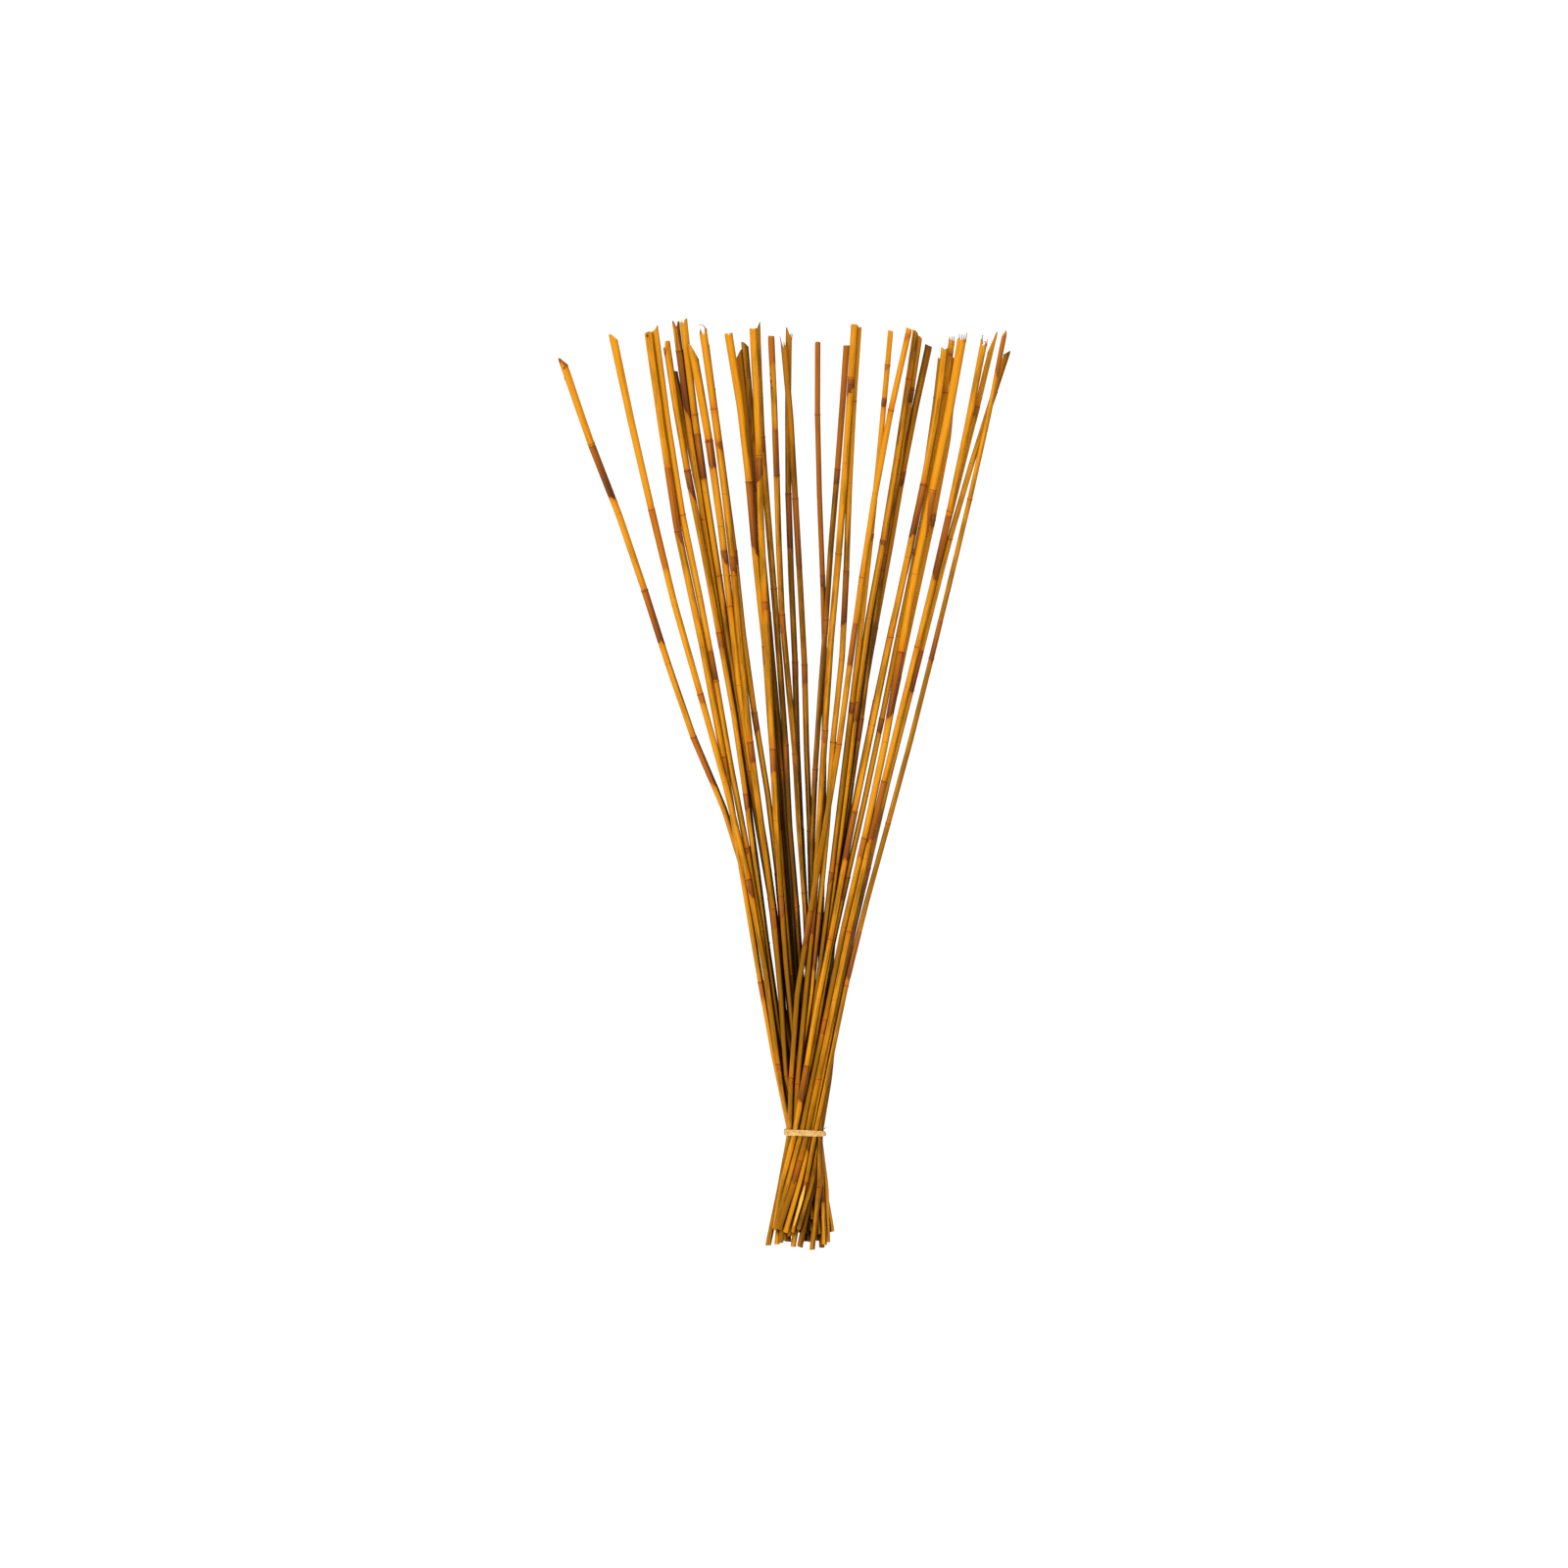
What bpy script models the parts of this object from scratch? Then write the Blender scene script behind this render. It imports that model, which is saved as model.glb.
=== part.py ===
"""A bunch of dried, gold-dyed reeds, tied near its thin ends with raffia and laid on a surface.

The frame: the bunch lies on the plane Z = 0. Its length runs along Y, with the fan of thick
root ends at +Y and the tied, thin ends at -Y. X runs across the fan, to the right as seen
from above, and Z is up. The origin is the middle of the footprint. Lengths are in metres.
"""

import math

import bmesh
import bpy
import numpy as np
from mathutils import Vector

MM = 0.001

# ---------------------------------------------------------------- driving dimensions

SIDES = 7                  # flats round a reed
NODE_SWELL = 0.45 * MM     # how far a growth ring stands out from the stem
NODE_EDGE = 2.5 * MM       # from the crest of a growth ring to the bare stem on its root side
LONG_RUN = 70 * MM         # a straight run longer than this gets a section halfway
CLEARANCE = 0.35 * MM      # air left between two reeds
END_MARGIN = 4.0 * MM      # a reed keeps clear of the others this far past its cut end
STATION_STEP = 5.0 * MM    # spacing of the stations at which the reeds are kept apart
FLOOR_GAP = 0.05 * MM      # air left under a reed that lies on the surface
RING_MARGIN = 14 * MM      # no growth ring this close to the tie or to a cut end
HALF_LENGTH = 480 * MM     # the stations run this far from the middle, both ways
SMOOTH_ANGLE = math.radians(40)  # edges sharper than this stay crisp

TIE_Y = -355.5 * MM        # middle of the tie
TIE_X = 21 * MM            # its middle across the bunch, in the plan below
TIE_ROOM = 36 * MM         # inner width of the loop
TIE_WIDTH = 6.6 * MM       # both strands side by side
TIE_THICKNESS = 2.2 * MM
TIE_GAP = 0.3 * MM         # air between the raffia and the reeds
TIE_STEPS = 40             # sections round the bunch
TIE_PLACES = 7             # places along y at which the raffia has to clear the reeds
TIE_LEAN = -0.045          # the loop runs slightly off square, towards -Y on the right
TIE_FLAT = 0.62            # share of the raffia's width that is flat
TIE_PRESSED = 0.2 * MM     # the raffia is pressed level where it is this close to the surface
KNOT_ANGLE = math.radians(-38)
KNOT_SPREAD = math.radians(15)
KNOT_SWELL = 0.95          # extra thickness at the knot, as a share of the raffia's
KNOT_WIDENING = 0.25       # extra width at the knot, as a share of the raffia's

# How the reeds settle in the bunch.
LAYER_RISE = 5.0 * MM      # from one layer to the next in the tied bundle
BASE_DROP = 0.75           # the thin ends sink to this share of their height at the tie
X_PULL = 0.1               # how firmly a reed is drawn to its place in plan
Z_PULL = 0.02              # and to its height
STIFFNESS = 0.05           # how firmly it stays straight
SETTLE_ROUNDS = 260
CLEAR_ROUNDS = 200
CLEAR_ENOUGH = 0.02 * MM   # an overlap of the clearances smaller than this is left
STACKED = 0.7              # reeds closer in plan than this share of their reach lie on each other

# ---------------------------------------------------------------- the reeds

# The cross lines of the plan, in millimetres along y. The last one is the tie.
LINES = (350, 250, 150, 50, -50, -150, -250, -355.5)

# The layers of the bunch, the lowest first, and in each the reeds in the order in which they
# lie. A reed is: its number, roughly from left to right in the fan, the place (x, y) of its cut
# root end, its x at each cross line, the place (x, y) of its thin end, its diameters (root,
# thin), the height of its root end, the slant of its root cut (positive where the left side is
# longer) and the places of its growth rings along y. All are in millimetres.
LAYERS = (
    (
        ("13", (-46.5, 445), (-35, -26.5, -18, -9.5, 0, 6, 9, 9), (4, -469),
         (6.5, 5.0), 4, -4, (300, 140, -20, -180, -335)),
        ("14", (-41, 453), (-32, -24.5, -15.5, -6, 2.5, 10, 13.5, 14.5), (19.5, -469),
         (6.6, 5.1), 6, 3, (330, 175, 15, -145, -305)),
        ("16", (-28.5, 473), (-23, -15, -7, 0, 4.5, 13.5, 19, 20), (23.5, -469),
         (6.5, 5.0), 8, -5, (355, 200, 40, -125, -290)),
        ("19", (4.5, 468), (3.5, 5, 10, 12.5, 17, 22.5, 26, 25.5), (33, -468),
         (6.0, 5.0), 5, -4, (297, 125, -47, -219, -391)),
        ("01", (-228, 436), (-198.5, -160, -128, -94, -52.5, -27, -8.5, 4.9), (18, -425),
         (7.6, 5.0), 16, 8, (348, 198, 48, -102, -252, -400)),
        ("18", (-1, 452), (8, 13, 19.5, 22, 26, 28, 30, 31.2), (35.8, -475),
         (6.0, 5.0), 16, 3, (292, 122, -48, -218, -388)),
    ),
    (
        ("06", (-113.5, 424), (-98, -77, -57.5, -47.5, -33, -21, -8.5, 7.7), (25, -460),
         (6.6, 5.0), 3, 3, (317, 157, -3, -163, -315)),
        ("07", (-111.5, 474), (-94.5, -79, -62.5, -45.5, -33, -21.5, -9, 13.5), (30, -463),
         (6.6, 5.1), 10, 4, (443, 271, 99, -73, -245)),
        ("08", (-103.5, 476), (-89, -73, -58, -42.5, -26, -9, 0, 19.3), (37, -458),
         (7.0, 5.1), 12, -3, (378, 213, 48, -117, -282)),
        ("11", (-81, 452), (-67, -53, -42, -27.5, -11, -2.5, 8, 25.1), (48.5, -458.5),
         (6.6, 5.0), 14, 2, (403, 238, 73, -92, -257)),
        ("12", (-57.5, 461), (-40, -31.5, -20.5, -13.5, -6, 3, 12, 30.9), (44, -469),
         (7.4, 5.1), 24, 2, (309, 141, -27, -195, -330)),
    ),
    (
        ("05", (-121, 453), (-105, -85, -66, -48, -34.5, -22, -9, 16.5), (32, -461),
         (7.0, 5.0), 22, 5, (320, 155, -10, -175, -320)),
        ("04", (-133.5, 468.5), (-117, -100, -78, -61.5, -41.5, -23, -9.5, 10.7), (28, -457),
         (7.4, 5.2), 26, -5, (275, 105, -65, -235, -405)),
        ("09", (-95, 450), (-77, -63, -52, -39.5, -22, -7.5, 1, 22.3), (38, -455),
         (8.0, 5.2), 24, 8, (350, 182, 14, -154, -310)),
        ("03", (-139, 462), (-123, -107.5, -85.5, -66, -49, -34, -14.5, 4.9), (21, -452),
         (7.8, 5.2), 32, 2, (258, 28, -202, -400)),
        ("20", (34, 453), (34, 37.5, 41, 40.5, 40, 37, 33, 28), (38, -462),
         (4.8, 4.6), 9, 2, (378, 213, 48, -117, -282)),
        ("17", (-13.7, 458), (-9, -6, -1, 9.5, 15.5, 23.5, 29.5, 34.5), (39, -471),
         (6.2, 5.0), 24, 1, (315, 173, 31, -111, -253, -395)),
    ),
    (
        ("15", (-32, 465), (-26.5, -23.5, -18, -13, -8, -1, 8, 25.2), (37, -460),
         (7.0, 5.2), 34, 1, (336, 186, 36, -114, -264, -414)),
        ("02", (-175.5, 459), (-152, -128.5, -103.5, -73.5, -48, -25.5, -11.5, 7.8), (21.5, -414),
         (7.7, 5.2), 40, 5, (280, 92, -97, -285)),
        ("10", (-83.5, 465), (-67.5, -55, -46, -36, -22.5, -9, 0, 13.6), (28, -445),
         (7.6, 5.2), 36, -3, (383, 213, 43, -127, -297)),
        ("21", (63.5, 449), (56.5, 48, 41, 33.5, 28.5, 28, 26, 19.4), (13, -463),
         (5.6, 5.0), 7, 1, (322, 168, 15, -138, -292)),
    ),
    (
        ("28", (148, 450), (126.5, 109, 90.5, 74, 62, 49, 40, 36.8), (14.7, -473.5),
         (6.6, 5.2), 3, 1, (320, 160, 0, -160, -320)),
        ("27", (138, 459), (121.5, 104, 89, 76, 61, 48, 34.5, 28.1), (7.5, -473.5),
         (6.2, 5.0), 9, 0, (403, 235, 67, -101, -269)),
        ("29", (160, 436), (149.5, 131, 107, 86, 65, 47.5, 36, 31.8), (10, -458),
         (6.0, 5.0), 16, 0, (395, 240, 85, -75, -240)),
        ("26", (134.5, 464), (117.5, 101, 82.5, 70, 58.5, 46, 33, 24.5), (9, -462),
         (6.2, 5.0), 22, 4, (414, 249, 84, -81, -246)),
        ("33", (174, 436), (166.5, 147, 125, 104, 84, 62.5, 42, 34.5), (12, -455),
         (6.2, 5.0), 24, -2, (270, 110, -55, -215)),
        ("24", (108.3, 463), (98, 88, 77, 65, 53, 41.5, 29, 20), (4, -462),
         (5.0, 4.8), 30, 1, (428, 255, 83, -90, -262)),
        ("31", (171, 455), (156.5, 137, 116, 96, 74.5, 51.5, 32, 15.5), (0.5, -467),
         (5.8, 5.0), 30, -3, (400, 235, 67, -95, -255)),
        ("23", (75.5, 467), (68, 64, 60.5, 50, 43, 33.5, 24.5, 4.9), (-8.2, -471),
         (6.5, 5.0), 32, 1, (391, 217, 43, -131, -305)),
        ("22", (71.5, 469), (64, 56.5, 47.5, 41, 35, 28, 18, 10.2), (-4, -469),
         (7.0, 5.0), 40, 2, (415, 235, 55, -125, -305)),
    ),
    (
        ("35", (215, 462), (188, 162.5, 140, 116.5, 93.5, 70, 50, 37.6), (28.1, -476),
         (5.6, 5.0), 36, -6, (385, 230, 80, -85, -245, -410)),
        ("37", (228, 442), (198, 168.5, 143, 117.5, 92, 68, 48, 29), (0, -458),
         (5.6, 5.0), 44, -3, (400, 250, 96, -70, -235)),
        ("25", (127.5, 465), (102, 85, 70.5, 57, 40.5, 23.5, 9, 6.3), (-15.5, -472),
         (5.6, 5.2), 46, 2, (381, 211, 41, -129, -299)),
        ("30", (163.5, 445), (150.5, 129.5, 108, 87.5, 67, 48.5, 29, 11.9), (-10.5, -455),
         (6.6, 5.4), 44, 4, (305, 150, -28, -158, -287)),
        ("32", (181, 455), (162, 140, 121.5, 104, 83.5, 60, 39.5, 17.4), (-9, -456),
         (8.2, 5.4), 52, 3, (300, 135, -55, -240)),
        ("34", (203.5, 453), (183.5, 162, 138, 113, 89, 66, 45.5, 23), (-7.4, -455),
         (6.2, 5.3), 54, 4, (278, 140, 3, -150, -300)),
        ("36", (224.5, 462), (202.5, 179, 155, 130, 103, 76, 53, 34.3), (7.2, -458),
         (4.6, 4.7), 60, 5, (290, 128, -40, -205)),
    ),
)


# The reeds of each shade. The rest are olive gold.
GOLD_REEDS = ("01", "02", "03", "04", "05", "09", "10", "12", "15", "22", "24", "25", "30", "32", "34", "36")
BROWN_REEDS = ("06", "13", "18", "19", "28", "29")


def curve_through(ys, xs, at):
    """Smooth values at the given places, through points that run downwards in y."""
    ys = np.asarray(ys, float)[::-1]
    xs = np.asarray(xs, float)[::-1]
    slopes = np.gradient(xs, ys)
    at = np.asarray(at, float)
    index = np.clip(np.searchsorted(ys, at) - 1, 0, len(ys) - 2)
    span = ys[index + 1] - ys[index]
    t = (at - ys[index]) / span
    start = xs[index] * (2 * t**3 - 3 * t**2 + 1) + slopes[index] * span * (t**3 - 2 * t**2 + t)
    end = xs[index + 1] * (3 * t**2 - 2 * t**3) + slopes[index + 1] * span * (t**3 - t**2)
    return start + end


class Reed:
    """One reed: where it bends, how thick it is there and how high it lies."""

    def __init__(self, row, layer):
        self.number, tip, xs, base, thickness, lift, slant, rings = row
        self.tip_y = tip[1] * MM
        self.base_y = base[1] * MM
        self.slant = slant * MM
        self.root_radius = thickness[0] * MM / 2
        self.thin_radius = thickness[1] * MM / 2
        fixed = (self.tip_y, TIE_Y, self.base_y)
        self.rings = [y * MM for y in rings if min(abs(y * MM - f) for f in fixed) > RING_MARGIN]
        self.bend_y = self.bending_places(fixed)
        plan_y = [self.tip_y] + [y * MM for y in LINES] + [self.base_y]
        plan_x = [tip[0] * MM] + [x * MM for x in xs] + [base[0] * MM]
        self.plan_x = curve_through(plan_y, plan_x, self.bend_y)
        self.bend_x = self.plan_x.copy()
        at_tie = TIE_THICKNESS + TIE_GAP + self.thin_radius + layer * LAYER_RISE
        at_base = max(self.thin_radius, at_tie * BASE_DROP)
        at_tip = max(lift * MM, self.root_radius)
        self.plan_z = np.interp(self.bend_y, [self.base_y, TIE_Y, self.tip_y], [at_base, at_tie, at_tip])
        self.bend_z = self.plan_z.copy()
        edges = [ring + NODE_EDGE for ring in self.rings]
        self.section_y = np.array(sorted(list(self.bend_y) + edges, reverse=True))
        on_ring = np.isin(self.section_y, self.rings)
        self.section_radius = self.stem_radius(self.section_y) + NODE_SWELL * on_ring

    def bending_places(self, fixed):
        """Growth rings, tie and ends, with a place halfway along each long run between them."""
        places = sorted(list(fixed) + self.rings, reverse=True)
        halfway = [(a + b) / 2 for a, b in zip(places, places[1:]) if a - b > LONG_RUN]
        return np.array(sorted(places + halfway, reverse=True))

    def stem_radius(self, ys):
        """Radius of the bare stem, which tapers from the root end to the thin end."""
        share = np.clip((self.tip_y - ys) / (self.tip_y - self.base_y), 0, 1)
        return self.root_radius + (self.thin_radius - self.root_radius) * np.sqrt(share)

    def x_at(self, ys):
        return np.interp(ys, self.bend_y[::-1], self.bend_x[::-1])

    def z_at(self, ys):
        return np.interp(ys, self.bend_y[::-1], self.bend_z[::-1])

    def radius_at(self, ys):
        return np.interp(ys, self.section_y[::-1], self.section_radius[::-1])

    def half_width(self, ys):
        """Half the width of a section across y, which a slanting reed makes wider."""
        near = [self.radius_at(ys + shift) for shift in (-STATION_STEP / 2, 0, STATION_STEP / 2)]
        slope = np.gradient(self.x_at(ys), ys)
        return np.max(near, axis=0) * np.sqrt(1 + slope**2)

    def covers(self, ys):
        return (ys < self.tip_y + END_MARGIN) & (ys > self.base_y - END_MARGIN)

    def shares(self, ys):
        """For each place, how much of it belongs to each bending place."""
        table = np.zeros((len(ys), len(self.bend_y)))
        for column in range(len(self.bend_y)):
            unit = np.zeros(len(self.bend_y))
            unit[column] = 1
            table[:, column] = np.interp(ys, self.bend_y[::-1], unit[::-1])
        return table


STATIONS = np.arange(-HALF_LENGTH, HALF_LENGTH + STATION_STEP / 2, STATION_STEP)


def straighten(ys, values):
    """How far each inner value is from the straight line between its neighbours."""
    share = (ys[1:-1] - ys[:-2]) / (ys[2:] - ys[:-2])
    return values[:-2] + share * (values[2:] - values[:-2]) - values[1:-1]


def overlap(aside, above, reach):
    """Depth in which two reeds overlap, and the way in which the upper one has to move."""
    apart = np.maximum(np.hypot(aside, above), 1e-9)
    rise = np.sqrt(np.clip(reach**2 - aside**2, 0, None))
    stacked = (np.abs(aside) < STACKED * reach) & (above < np.abs(aside))
    depth = np.where(stacked, rise - above, reach - apart)
    return depth, np.where(stacked, 0, aside / apart), np.where(stacked, 1, above / apart)


class Bunch:
    """All the reeds together, moved apart until each lies clear of the others."""

    def __init__(self, reeds):
        self.reeds = reeds
        self.shares = [reed.shares(STATIONS) for reed in reeds]
        self.covered = np.array([reed.covers(STATIONS) for reed in reeds])
        self.lower, self.upper = np.triu_indices(len(reeds), 1)
        self.both = self.covered[self.lower] & self.covered[self.upper]
        self.measure()

    def measure(self):
        """Widths of the sections and what they need below them, for the present slopes."""
        widths = np.array([reed.half_width(STATIONS) for reed in self.reeds])
        radii = np.array([reed.radius_at(STATIONS) for reed in self.reeds])
        on_tie = np.abs(STATIONS - TIE_Y) < TIE_WIDTH
        self.reach = widths[self.lower] + widths[self.upper] + CLEARANCE
        self.floor = np.where(on_tie, widths + TIE_THICKNESS + TIE_GAP, radii + FLOOR_GAP)

    def overlaps(self):
        """Depth in which each pair of reeds overlaps and how far each reed is sunk, everywhere."""
        x = np.array([share @ reed.bend_x for share, reed in zip(self.shares, self.reeds)])
        z = np.array([share @ reed.bend_z for share, reed in zip(self.shares, self.reeds)])
        depth = overlap(x[self.upper] - x[self.lower], z[self.upper] - z[self.lower], self.reach)[0]
        return np.where(self.both, depth, 0), np.where(self.covered, self.floor - z, 0)

    def part_pair(self, pair, station):
        """Move two reeds clear of each other at one station."""
        lower = self.reeds[self.lower[pair]]
        upper = self.reeds[self.upper[pair]]
        lower_share = self.shares[self.lower[pair]][station]
        upper_share = self.shares[self.upper[pair]][station]
        aside = upper_share @ upper.bend_x - lower_share @ lower.bend_x
        above = upper_share @ upper.bend_z - lower_share @ lower.bend_z
        depth, towards_x, towards_z = overlap(aside, above, self.reach[pair, station])
        push = max(depth, 0) / (lower_share @ lower_share + upper_share @ upper_share)
        lower.bend_x -= lower_share * push * towards_x
        lower.bend_z -= lower_share * push * towards_z
        upper.bend_x += upper_share * push * towards_x
        upper.bend_z += upper_share * push * towards_z

    def part(self):
        """Move each pair of reeds clear where it overlaps most, and each sunk reed up."""
        depth, sunk = self.overlaps()
        for pair in np.nonzero(depth.max(axis=1) > CLEAR_ENOUGH)[0]:
            self.part_pair(pair, depth[pair].argmax())
        for k in np.nonzero(sunk.max(axis=1) > 0)[0]:
            station = sunk[k].argmax()
            share = self.shares[k][station]
            lift = self.floor[k, station] - share @ self.reeds[k].bend_z
            self.reeds[k].bend_z += share * max(lift, 0) / (share @ share)
        for reed in self.reeds:
            room = TIE_ROOM / 2 - reed.radius_at(TIE_Y)
            at_tie = reed.bend_y == TIE_Y
            reed.bend_x[at_tie] = np.clip(reed.bend_x[at_tie], TIE_X - room, TIE_X + room)

    def settle(self):
        """Draw every reed to its plan and keep it stiff while the overlaps part, then clear the rest."""
        for step in range(SETTLE_ROUNDS):
            ease = 1 - step / SETTLE_ROUNDS
            for reed in self.reeds:
                reed.bend_x += X_PULL * ease * (reed.plan_x - reed.bend_x)
                reed.bend_z += Z_PULL * ease * (reed.plan_z - reed.bend_z)
                reed.bend_x[1:-1] += STIFFNESS * ease * straighten(reed.bend_y, reed.bend_x - reed.plan_x)
                reed.bend_z[1:-1] += STIFFNESS * ease * straighten(reed.bend_y, reed.bend_z)
            self.part()
        self.measure()
        for _ in range(CLEAR_ROUNDS):
            self.part()


def settled_reeds():
    reeds = []
    for layer, rows in enumerate(LAYERS):
        reeds += [Reed(row, layer) for row in rows]
    Bunch(reeds).settle()
    return reeds


# ---------------------------------------------------------------- materials

def finish(name, colour, roughness):
    material = bpy.data.materials.new(name)
    material.use_nodes = True
    shader = material.node_tree.nodes["Principled BSDF"]
    shader.inputs["Base Color"].default_value = (*colour, 1)
    shader.inputs["Roughness"].default_value = roughness
    shader.inputs["Metallic"].default_value = 0
    return material


# ---------------------------------------------------------------- solids

def add_object(name, bm, material):
    bmesh.ops.recalc_face_normals(bm, faces=bm.faces)
    mesh = bpy.data.meshes.new(name)
    bm.to_mesh(mesh)
    bm.free()
    mesh.shade_smooth()
    mesh.set_sharp_from_angle(angle=SMOOTH_ANGLE)
    mesh.materials.append(material)
    node = bpy.data.objects.new(name, mesh)
    bpy.context.collection.objects.link(node)
    return node


def oval_loop(bm, centre, half_width, half_height):
    """A section across y: an upright oval with a vertex for each flat."""
    loop = bmesh.ops.create_circle(bm, cap_ends=False, radius=1, segments=SIDES)["verts"]
    for vert in loop:
        vert.co = Vector((vert.co.x * half_width, 0, vert.co.y * half_height)) + centre
    return loop


def edges_of(loop):
    inside = set(loop)
    return [edge for vert in loop for edge in vert.link_edges if edge.other_vert(vert) in inside]


def build_reed(reed, material):
    """Sections along the stem, bridged, with a slanting root cut and a square thin end."""
    bm = bmesh.new()
    xs = reed.x_at(reed.section_y)
    zs = reed.z_at(reed.section_y)
    slopes = np.gradient(xs, reed.section_y)
    loops = []
    for x, y, z, slope, radius in zip(xs, reed.section_y, zs, slopes, reed.section_radius):
        loops.append(oval_loop(bm, Vector((x, y, z)), radius * math.sqrt(1 + slope**2), radius))
    for vert in loops[0]:
        across = (vert.co.x - xs[0]) / reed.root_radius
        vert.co.y -= reed.slant / 2 * across + abs(reed.slant) / 2
    for upper, lower in zip(loops, loops[1:]):
        bmesh.ops.bridge_loops(bm, edges=list(dict.fromkeys(edges_of(upper) + edges_of(lower))))
    bm.faces.new(loops[0])
    bm.faces.new(loops[-1])
    return add_object("reed_" + reed.number, bm, material)


def tie_path(reeds):
    """Middle line of the raffia round the bunch, as (angle, x, z, nx, nz) in turn."""
    places = TIE_Y + np.linspace(-TIE_WIDTH, TIE_WIDTH, TIE_PLACES)
    rounds = [circle for r in reeds for circle in zip(r.x_at(places), r.z_at(places), r.half_width(places))]
    path = []
    for step in range(TIE_STEPS):
        angle = 2 * math.pi * (step + 0.5) / TIE_STEPS
        nx = math.cos(angle)
        nz = math.sin(angle)
        x, z, width = max(rounds, key=lambda circle: circle[0] * nx + circle[1] * nz + circle[2])
        out = width + TIE_GAP + TIE_THICKNESS / 2
        path.append((angle, x + nx * out, z + nz * out, nx, nz))
    return path


def build_tie(reeds, material):
    """A flat loop of raffia with its knot low on the right, where the bunch hides it."""
    bm = bmesh.new()
    path = tie_path(reeds)
    middle = sum(point[1] for point in path) / len(path)
    loops = []
    for angle, x, z, nx, nz in path:
        from_knot = math.remainder(angle - KNOT_ANGLE, 2 * math.pi)
        knot = math.exp(-(from_knot / KNOT_SPREAD) ** 2)
        inner = -TIE_THICKNESS / 2
        outer = TIE_THICKNESS / 2 * (1 + 2 * KNOT_SWELL * knot)
        wide = TIE_WIDTH / 2 * (1 + KNOT_WIDENING * knot)
        flat = wide * TIE_FLAT
        y = TIE_Y + TIE_LEAN * (x - middle)
        section = ((-flat, outer), (flat, outer), (wide, 0), (flat, inner), (-flat, inner), (-wide, 0))
        loops.append([bm.verts.new((x + nx * out, y + along, z + nz * out)) for along, out in section])
    lowest = min(vert.co.z for vert in bm.verts)
    for vert in bm.verts:
        if vert.co.z < lowest + TIE_PRESSED:
            vert.co.z = lowest
    for loop, following in zip(loops, loops[1:] + loops[:1]):
        for i in range(len(loop)):
            j = (i + 1) % len(loop)
            bm.faces.new((loop[i], loop[j], following[j], following[i]))
    return add_object("raffia_tie", bm, material)


def centre_footprint(nodes):
    """Move the whole bunch so that its footprint's middle is the origin and it rests on Z = 0."""
    corners = [vert.co for node in nodes for vert in node.data.vertices]
    low = Vector([min(corner[axis] for corner in corners) for axis in range(3)])
    high = Vector([max(corner[axis] for corner in corners) for axis in range(3)])
    shift = Vector(((low.x + high.x) / 2, (low.y + high.y) / 2, low.z))
    for node in nodes:
        for vert in node.data.vertices:
            vert.co -= shift


def main():
    for old in list(bpy.data.objects):
        bpy.data.objects.remove(old)
    olive = finish("olive reed", (0.40, 0.25, 0.03), 0.5)
    shades = dict.fromkeys(GOLD_REEDS, finish("gold reed", (0.58, 0.30, 0.03), 0.45))
    shades.update(dict.fromkeys(BROWN_REEDS, finish("brown reed", (0.36, 0.17, 0.03), 0.55)))
    raffia = finish("raffia", (0.74, 0.53, 0.26), 0.8)
    reeds = settled_reeds()
    nodes = [build_reed(reed, shades.get(reed.number, olive)) for reed in reeds]
    nodes.append(build_tie(reeds, raffia))
    centre_footprint(nodes)


main()
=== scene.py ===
import math
import random

import bmesh
import bpy
import numpy as np
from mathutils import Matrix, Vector


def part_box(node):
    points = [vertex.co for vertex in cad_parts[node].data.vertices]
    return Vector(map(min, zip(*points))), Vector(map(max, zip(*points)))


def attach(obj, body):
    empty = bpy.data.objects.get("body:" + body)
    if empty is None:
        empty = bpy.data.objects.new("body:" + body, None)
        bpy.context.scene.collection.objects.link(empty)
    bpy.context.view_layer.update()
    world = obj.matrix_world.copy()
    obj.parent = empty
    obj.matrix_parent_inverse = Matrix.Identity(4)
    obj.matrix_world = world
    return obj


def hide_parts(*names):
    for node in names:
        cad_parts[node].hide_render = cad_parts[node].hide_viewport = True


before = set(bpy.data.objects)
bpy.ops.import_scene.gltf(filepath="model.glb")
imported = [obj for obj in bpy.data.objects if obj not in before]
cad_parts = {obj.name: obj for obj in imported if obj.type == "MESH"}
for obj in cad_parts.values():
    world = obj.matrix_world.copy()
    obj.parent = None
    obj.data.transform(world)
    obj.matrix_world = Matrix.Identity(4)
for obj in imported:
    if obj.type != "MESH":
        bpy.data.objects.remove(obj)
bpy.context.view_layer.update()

# ---- The camera
# It hangs straight above the bunch with a long lens and looks down, with the fan at the top of
# the picture. The picture is 1.6 m wide at the height of the middle of the bunch.
PICTURE_WIDTH = 1.6
MIDDLE_HEIGHT = 0.03
LENS = 200
SENSOR = 36

lens = bpy.data.cameras.new("above")
lens.lens = LENS
lens.sensor_width = SENSOR
lens.clip_end = 100
camera = bpy.data.objects.new("above", lens)
bpy.context.scene.collection.objects.link(camera)
camera.location = (0, 0, MIDDLE_HEIGHT + PICTURE_WIDTH * LENS / SENSOR)
bpy.context.scene.camera = camera


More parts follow.
